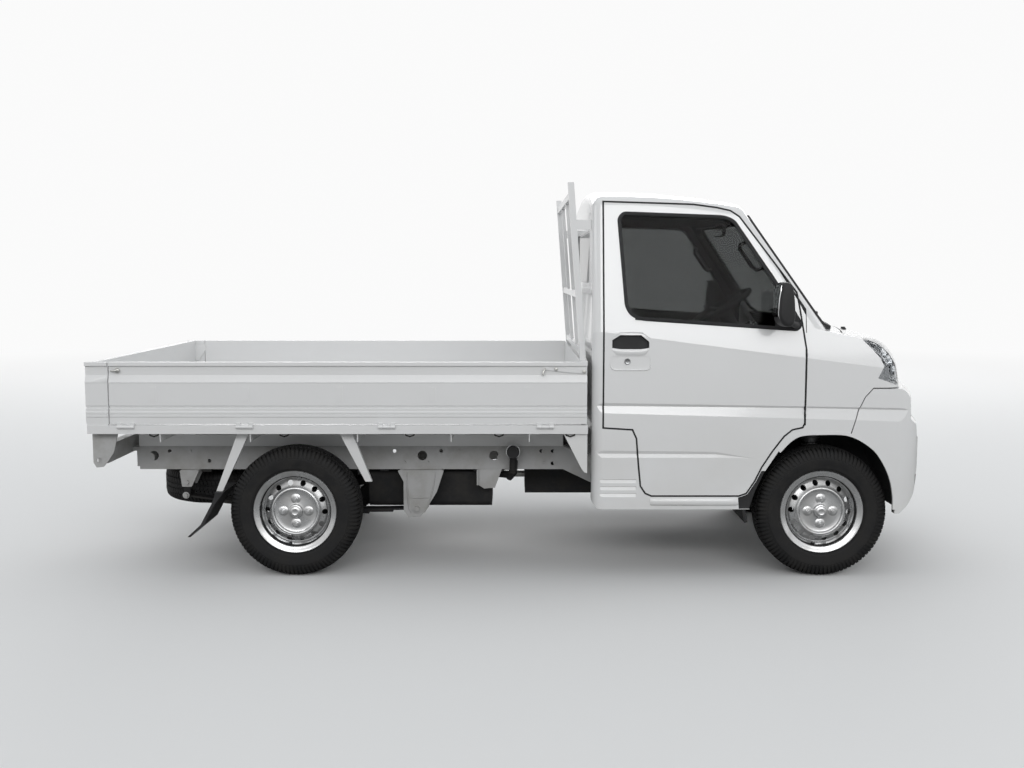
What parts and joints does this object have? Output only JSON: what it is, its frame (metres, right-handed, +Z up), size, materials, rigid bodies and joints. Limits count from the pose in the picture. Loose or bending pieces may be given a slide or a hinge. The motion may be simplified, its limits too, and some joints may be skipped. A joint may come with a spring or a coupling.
{
  "type": "kei truck",
  "caption": "Small two-seat pickup truck with a cab over its front wheels, a drop-sided load bed on a ladder frame, leaf-sprung rear axle and steered front wheels.",
  "frame": {"origin": "on the ground below the middle of the overall length, on the centreline", "axes": "+X forwards, +Y to the vehicle's left, +Z up"},
  "size_m": [3.87, 1.88, 1.779],
  "materials": {
    "tyre_rubber": "matt black rubber",
    "wheel_steel": "silver painted pressed steel",
    "white_paint": "gloss white paint",
    "frame_paint": "satin light grey paint",
    "black_paint": "satin black chassis paint",
    "cast_metal": "dull machined and cast metal",
    "black_plastic": "grained black plastic",
    "trim_plastic": "grained dark grey plastic",
    "seat_fabric": "dark woven seat cloth",
    "tinted_glass": "dark tinted glass",
    "lamp_lens": "clear lamp lens",
    "red_lens": "red lamp lens"
  },
  "bodies": {
    "root": {"rear_axle": "cast_metal", "leaf_springs": "black_paint", "chassis_frame": "frame_paint", "front_suspension": "black_paint", "steering_rack": "cast_metal", "steering_column": "trim_plastic", "engine": "cast_metal", "fuel_tank": "black_paint", "exhaust": "wheel_steel", "spare_wheel": "tyre_rubber", "rear_bumper": "frame_paint", "tail_lamps": "red_lens", "mudguard_braces": "frame_paint", "mud_flaps": "black_plastic", "load_bed": "white_paint", "guard_frame": "white_paint", "cab_shell": "white_paint", "front_bumper": "white_paint", "headlamps": "lamp_lens", "windscreen": "tinted_glass", "rear_window": "tinted_glass", "bumper_grille": "black_plastic", "seats": "seat_fabric", "dashboard": "trim_plastic", "wipers": "black_plastic"},
    "wheel_front_left": {"tyre_front_left": "tyre_rubber", "rim_front_left": "wheel_steel", "hub_front_left": "cast_metal"},
    "wheel_front_right": {"tyre_front_right": "tyre_rubber", "rim_front_right": "wheel_steel", "hub_front_right": "cast_metal"},
    "wheel_rear_left": {"tyre_rear_left": "tyre_rubber", "rim_rear_left": "wheel_steel", "hub_rear_left": "cast_metal"},
    "wheel_rear_right": {"tyre_rear_right": "tyre_rubber", "rim_rear_right": "wheel_steel", "hub_rear_right": "cast_metal"},
    "knuckle_left": {"knuckle_left": "cast_metal"},
    "door_left": {"door_left": "white_paint", "door_glass_left": "tinted_glass", "mirror_left": "trim_plastic"},
    "side_gate_left": {"side_gate_left": "white_paint"},
    "knuckle_right": {"knuckle_right": "cast_metal"},
    "door_right": {"door_right": "white_paint", "door_glass_right": "tinted_glass", "mirror_right": "trim_plastic"},
    "side_gate_right": {"side_gate_right": "white_paint"},
    "tie_rods": {"tie_rods": "cast_metal"},
    "steering_wheel": {"steering_wheel": "black_plastic"},
    "bonnet": {"bonnet": "white_paint"},
    "tailgate": {"tailgate": "white_paint"}
  },
  "joints": [
    {"name": "steer_left", "type": "hinge", "parent": "root", "child": "knuckle_left", "pos_m": [1.36, 0.56, 0.296], "axis": [0, -0.2079, 0.9781], "range_deg": [-33, 33]},
    {"name": "roll_front_left", "type": "hinge", "parent": "knuckle_left", "child": "wheel_front_left", "pos_m": [1.36, 0.65, 0.296], "axis": [0, 1, 0], "continuous": true},
    {"name": "roll_rear_left", "type": "hinge", "parent": "root", "child": "wheel_rear_left", "pos_m": [-1.03, 0.65, 0.296], "axis": [0, 1, 0], "continuous": true},
    {"name": "door_left_swing", "type": "hinge", "parent": "root", "child": "door_left", "pos_m": [1.259, 0.763, 0.85], "axis": [0, 0, -1], "range_deg": [0, 68]},
    {"name": "side_gate_left_drop", "type": "hinge", "parent": "root", "child": "side_gate_left", "pos_m": [-0.8, 0.788, 0.696], "axis": [-1, 0, 0], "range_deg": [0, 170]},
    {"name": "steer_right", "type": "hinge", "parent": "root", "child": "knuckle_right", "pos_m": [1.36, -0.56, 0.296], "axis": [0, 0.2079, 0.9781], "range_deg": [-33, 33]},
    {"name": "roll_front_right", "type": "hinge", "parent": "knuckle_right", "child": "wheel_front_right", "pos_m": [1.36, -0.65, 0.296], "axis": [0, 1, 0], "continuous": true},
    {"name": "roll_rear_right", "type": "hinge", "parent": "root", "child": "wheel_rear_right", "pos_m": [-1.03, -0.65, 0.296], "axis": [0, 1, 0], "continuous": true},
    {"name": "door_right_swing", "type": "hinge", "parent": "root", "child": "door_right", "pos_m": [1.259, -0.763, 0.85], "axis": [0, 0, 1], "range_deg": [0, 68]},
    {"name": "side_gate_right_drop", "type": "hinge", "parent": "root", "child": "side_gate_right", "pos_m": [-0.8, -0.788, 0.696], "axis": [1, 0, 0], "range_deg": [0, 170]},
    {"name": "rack_travel", "type": "slide", "parent": "root", "child": "tie_rods", "axis": [0, 1, 0], "range_m": [-0.072, 0.072]},
    {"name": "steering_turn", "type": "hinge", "parent": "root", "child": "steering_wheel", "pos_m": [1.085, 0.33, 1.19], "axis": [-0.53, 0, 0.848], "range_deg": [-561, 561]},
    {"name": "bonnet_lift", "type": "hinge", "parent": "root", "child": "bonnet", "pos_m": [1.436, 0, 1.104], "axis": [0, -1, 0], "range_deg": [0, 45]},
    {"name": "tailgate_drop", "type": "hinge", "parent": "root", "child": "tailgate", "pos_m": [-1.925, 0, 0.696], "axis": [0, -1, 0], "range_deg": [0, 170]}
  ],
  "couplings": [
    {"joint": "steer_right", "follows": "steer_left", "ratio": 1},
    {"joint": "rack_travel", "follows": "steer_left", "m_per_rad": -0.1165},
    {"joint": "steering_turn", "follows": "steer_left", "ratio": 16.5}
  ]
}
